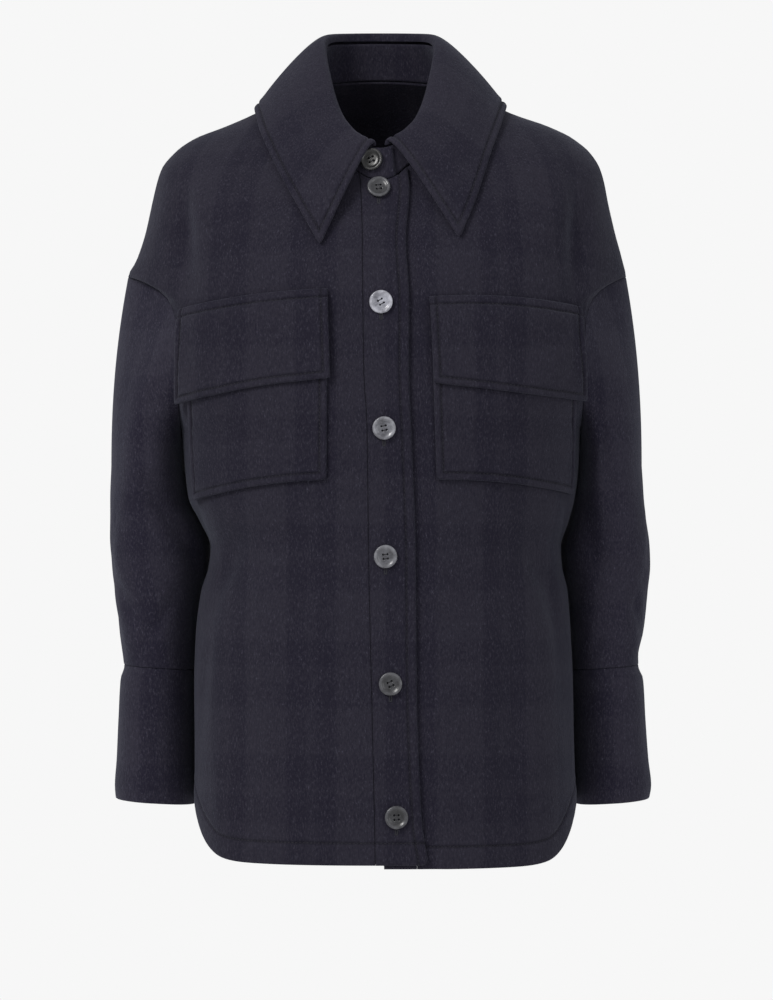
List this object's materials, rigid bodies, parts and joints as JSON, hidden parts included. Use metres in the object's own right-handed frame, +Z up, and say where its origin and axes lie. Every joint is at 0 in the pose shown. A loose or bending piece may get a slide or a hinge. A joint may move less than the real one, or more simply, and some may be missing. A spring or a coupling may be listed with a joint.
{
  "type": "wool jacket",
  "caption": "Worn wool overshirt jacket with pointed collar, button front, flapped breast pockets, wide sleeves and curved hem.",
  "frame": {"origin": "middle of the neck base, level with the shoulders where they meet the neck", "axes": "+Z up, -Y the way the wearer faces, +X the wearer's left"},
  "size_m": [0.5048, 0.2949, 0.7711],
  "materials": {
    "wool_body": "brushed wool, dark navy with a faint tonal check",
    "wool_collar": "brushed wool, dark navy with a faint tonal check",
    "wool_sleeve": "brushed wool, dark navy with a faint tonal check",
    "button": "smoky grey horn, half gloss"
  },
  "bodies": {
    "root": {"collar": "wool_collar", "collar_stand": "wool_collar", "sleeve_right": "wool_sleeve", "sleeve_left": "wool_sleeve", "cuff_right": "wool_sleeve", "cuff_left": "wool_sleeve", "button_1": "button", "button_2": "button", "button_3": "button", "button_4": "button", "button_5": "button", "button_6": "button", "button_7": "button", "front_right": "wool_body", "front_left": "wool_body", "back": "wool_body", "band_right": "wool_body", "band_left": "wool_body", "pocket_right": "wool_body", "pocket_left": "wool_body", "flap_right": "wool_body", "flap_left": "wool_body"}
  },
  "joints": []
}
